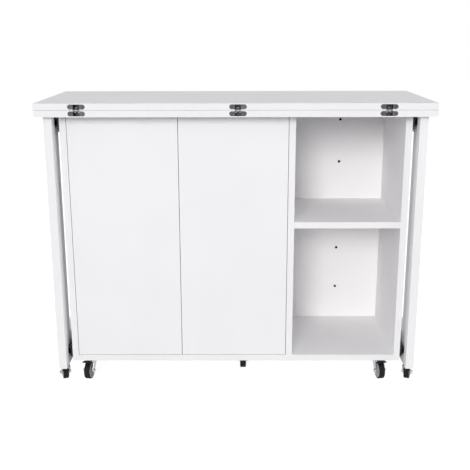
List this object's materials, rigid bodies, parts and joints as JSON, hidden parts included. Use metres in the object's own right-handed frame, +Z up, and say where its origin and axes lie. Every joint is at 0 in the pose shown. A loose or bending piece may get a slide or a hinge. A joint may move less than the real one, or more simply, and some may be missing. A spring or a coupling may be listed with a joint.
{
  "type": "rolling folding kitchen table",
  "caption": "Rolling cabinet table with a flip-forward top leaf on concealed hinges, pull-out gate frames, inset doors, an open bay and swivel casters.",
  "frame": {"origin": "on the floor under the centre of the closed table top", "axes": "+X to the right along the width, +Y to the back, +Z up"},
  "size_m": [1.067, 0.4118, 0.816],
  "materials": {
    "white_board": "satin white melamine on particle board",
    "white_worktop": "satin white laminate",
    "white_frame": "satin white paint on wood",
    "grey_zinc": "cast zinc, dull grey",
    "bright_steel": "zinc plated",
    "black_steel": "black electrophoretic coat",
    "caster_steel": "zinc plated pressed steel",
    "wheel_rubber": "matt black rubber",
    "black_plastic": "matt",
    "pale_nylon": "natural nylon"
  },
  "bodies": {
    "cabinet": {"side_panel_left": "white_board", "side_panel_right": "white_board", "partition": "white_board", "bottom_board": "white_board", "back_panel": "white_board", "bay_shelf": "white_board", "cupboard_shelf": "white_board", "shelf_pins": "bright_steel", "back_screws": "black_steel", "lower_top": "white_worktop", "hinge_cups_lower": "grey_zinc", "hinge_screws_lower": "grey_zinc", "door_pivot_bushes": "pale_nylon", "latch_housing": "black_plastic", "slide_outer_members": "black_steel", "caster_plates": "caster_steel"},
    "leaf": {"leaf_top": "white_worktop", "hinge_cups_leaf": "grey_zinc", "hinge_screws_leaf": "grey_zinc"},
    "links_lower": {"hinge_links_lower": "bright_steel"},
    "links_leaf": {"hinge_links_leaf": "grey_zinc"},
    "door_left": {"door_left": "white_board", "door_left_pins": "bright_steel"},
    "door_right": {"door_right": "white_board", "door_right_pins": "bright_steel"},
    "latch_plunger_left": {"latch_plunger_left": "pale_nylon"},
    "latch_plunger_right": {"latch_plunger_right": "pale_nylon"},
    "gate_left": {"gate_left_front_stile": "white_frame", "gate_left_rear_stile": "white_frame", "gate_left_top_rail": "white_frame", "gate_left_bottom_rail": "white_frame", "gate_left_slide_members": "black_steel", "gate_left_caster_stem": "caster_steel"},
    "slide_middle_left": {"slide_middle_members_left": "black_steel"},
    "gate_right": {"gate_right_front_stile": "white_frame", "gate_right_rear_stile": "white_frame", "gate_right_top_rail": "white_frame", "gate_right_bottom_rail": "white_frame", "gate_right_slide_members": "black_steel", "gate_right_caster_stem": "caster_steel"},
    "slide_middle_right": {"slide_middle_members_right": "black_steel"},
    "caster_front_left_fork": {"caster_front_left_fork": "caster_steel"},
    "caster_front_left_wheel": {"caster_front_left_wheel": "wheel_rubber"},
    "caster_front_right_fork": {"caster_front_right_fork": "caster_steel"},
    "caster_front_right_wheel": {"caster_front_right_wheel": "wheel_rubber"},
    "caster_rear_left_fork": {"caster_rear_left_fork": "caster_steel"},
    "caster_rear_left_wheel": {"caster_rear_left_wheel": "wheel_rubber"},
    "caster_rear_right_fork": {"caster_rear_right_fork": "caster_steel"},
    "caster_rear_right_wheel": {"caster_rear_right_wheel": "wheel_rubber"},
    "caster_centre_fork": {"caster_centre_fork": "caster_steel"},
    "caster_centre_wheel": {"caster_centre_wheel": "wheel_rubber"},
    "gate_left_caster_fork": {"gate_left_caster_fork": "caster_steel"},
    "gate_left_caster_wheel": {"gate_left_caster_wheel": "wheel_rubber"},
    "gate_right_caster_fork": {"gate_right_caster_fork": "caster_steel"},
    "gate_right_caster_wheel": {"gate_right_caster_wheel": "wheel_rubber"},
    "caster_front_left_brake": {"caster_front_left_brake": "black_plastic"},
    "caster_front_right_brake": {"caster_front_right_brake": "black_plastic"}
  },
  "joints": [
    {"name": "leaf_flip", "type": "hinge", "parent": "cabinet", "child": "leaf", "pos_m": [0, -0.2054, 0.798], "axis": [1, 0, 0], "range_deg": [0, 180]},
    {"name": "links_lower_swing", "type": "hinge", "parent": "cabinet", "child": "links_lower", "pos_m": [0, -0.1934, 0.793], "axis": [1, 0, 0], "range_deg": [0, 34]},
    {"name": "links_leaf_swing", "type": "hinge", "parent": "leaf", "child": "links_leaf", "pos_m": [0, -0.1934, 0.803], "axis": [1, 0, 0], "range_deg": [-34, 0]},
    {"name": "gate_left_pull", "type": "slide", "parent": "cabinet", "child": "gate_left", "axis": [0, -1, 0], "range_m": [0, 0.3]},
    {"name": "slide_middle_left_run", "type": "slide", "parent": "cabinet", "child": "slide_middle_left", "axis": [0, -1, 0], "range_m": [0, 0.15]},
    {"name": "gate_right_pull", "type": "slide", "parent": "cabinet", "child": "gate_right", "axis": [0, -1, 0], "range_m": [0, 0.3]},
    {"name": "slide_middle_right_run", "type": "slide", "parent": "cabinet", "child": "slide_middle_right", "axis": [0, -1, 0], "range_m": [0, 0.15]},
    {"name": "door_left_swing", "type": "hinge", "parent": "cabinet", "child": "door_left", "pos_m": [-0.4446, -0.1515, 0.43], "axis": [0, 0, -1], "range_deg": [0, 90]},
    {"name": "door_right_swing", "type": "hinge", "parent": "cabinet", "child": "door_right", "pos_m": [0.1296, -0.1515, 0.43], "axis": [0, 0, 1], "range_deg": [0, 90]},
    {"name": "latch_left_press", "type": "slide", "parent": "cabinet", "child": "latch_plunger_left", "axis": [0, 1, 0], "range_m": [0, 0.003], "stiffness_N_per_m": 600},
    {"name": "latch_right_press", "type": "slide", "parent": "cabinet", "child": "latch_plunger_right", "axis": [0, 1, 0], "range_m": [0, 0.003], "stiffness_N_per_m": 600},
    {"name": "caster_front_left_swivel", "type": "hinge", "parent": "cabinet", "child": "caster_front_left_fork", "pos_m": [-0.432, -0.112, 0.05], "axis": [0, 0, 1], "continuous": true},
    {"name": "caster_front_left_roll", "type": "hinge", "parent": "caster_front_left_fork", "child": "caster_front_left_wheel", "pos_m": [-0.43617, -0.13564, 0.025], "axis": [0.9848, -0.1736, 0], "continuous": true},
    {"name": "caster_front_right_swivel", "type": "hinge", "parent": "cabinet", "child": "caster_front_right_fork", "pos_m": [0.422, -0.112, 0.05], "axis": [0, 0, 1], "continuous": true},
    {"name": "caster_front_right_roll", "type": "hinge", "parent": "caster_front_right_fork", "child": "caster_front_right_wheel", "pos_m": [0.42617, -0.13564, 0.025], "axis": [0.9848, 0.1736, 0], "continuous": true},
    {"name": "caster_rear_left_swivel", "type": "hinge", "parent": "cabinet", "child": "caster_rear_left_fork", "pos_m": [-0.427, 0.122, 0.05], "axis": [0, 0, 1], "continuous": true},
    {"name": "caster_rear_left_roll", "type": "hinge", "parent": "caster_rear_left_fork", "child": "caster_rear_left_wheel", "pos_m": [-0.43117, 0.14563, 0.025], "axis": [-0.9848, -0.1736, 0], "continuous": true},
    {"name": "caster_rear_right_swivel", "type": "hinge", "parent": "cabinet", "child": "caster_rear_right_fork", "pos_m": [0.427, 0.122, 0.05], "axis": [0, 0, 1], "continuous": true},
    {"name": "caster_rear_right_roll", "type": "hinge", "parent": "caster_rear_right_fork", "child": "caster_rear_right_wheel", "pos_m": [0.43117, 0.14563, 0.025], "axis": [-0.9848, 0.1736, 0], "continuous": true},
    {"name": "caster_centre_swivel", "type": "hinge", "parent": "cabinet", "child": "caster_centre_fork", "pos_m": [0.021, -0.032, 0.05], "axis": [0, 0, 1], "continuous": true},
    {"name": "caster_centre_roll", "type": "hinge", "parent": "caster_centre_fork", "child": "caster_centre_wheel", "pos_m": [0.021, -0.056, 0.025], "axis": [1, 0, 0], "continuous": true},
    {"name": "gate_left_caster_swivel", "type": "hinge", "parent": "gate_left", "child": "gate_left_caster_fork", "pos_m": [-0.5022, -0.152, 0.05], "axis": [0, 0, 1], "continuous": true},
    {"name": "gate_left_caster_roll", "type": "hinge", "parent": "gate_left_caster_fork", "child": "gate_left_caster_wheel", "pos_m": [-0.50836, -0.13509, 0.02], "axis": [-0.9397, -0.342, 0], "continuous": true},
    {"name": "gate_right_caster_swivel", "type": "hinge", "parent": "gate_right", "child": "gate_right_caster_fork", "pos_m": [0.5022, -0.152, 0.05], "axis": [0, 0, 1], "continuous": true},
    {"name": "gate_right_caster_roll", "type": "hinge", "parent": "gate_right_caster_fork", "child": "gate_right_caster_wheel", "pos_m": [0.50836, -0.13509, 0.02], "axis": [-0.9397, 0.342, 0], "continuous": true},
    {"name": "caster_front_left_brake_press", "type": "hinge", "parent": "caster_front_left_fork", "child": "caster_front_left_brake", "pos_m": [-0.43443, -0.12579, 0.0524], "axis": [0.9848, -0.1736, 0], "range_deg": [0, 11]},
    {"name": "caster_front_right_brake_press", "type": "hinge", "parent": "caster_front_right_fork", "child": "caster_front_right_brake", "pos_m": [0.42443, -0.12579, 0.0524], "axis": [0.9848, 0.1736, 0], "range_deg": [0, 11]}
  ],
  "couplings": [
    {"joint": "links_lower_swing", "follows": "leaf_flip", "ratio": 0.18862},
    {"joint": "links_leaf_swing", "follows": "leaf_flip", "ratio": -0.18862},
    {"joint": "slide_middle_left_run", "follows": "gate_left_pull", "ratio": 0.5},
    {"joint": "slide_middle_right_run", "follows": "gate_right_pull", "ratio": 0.5}
  ]
}
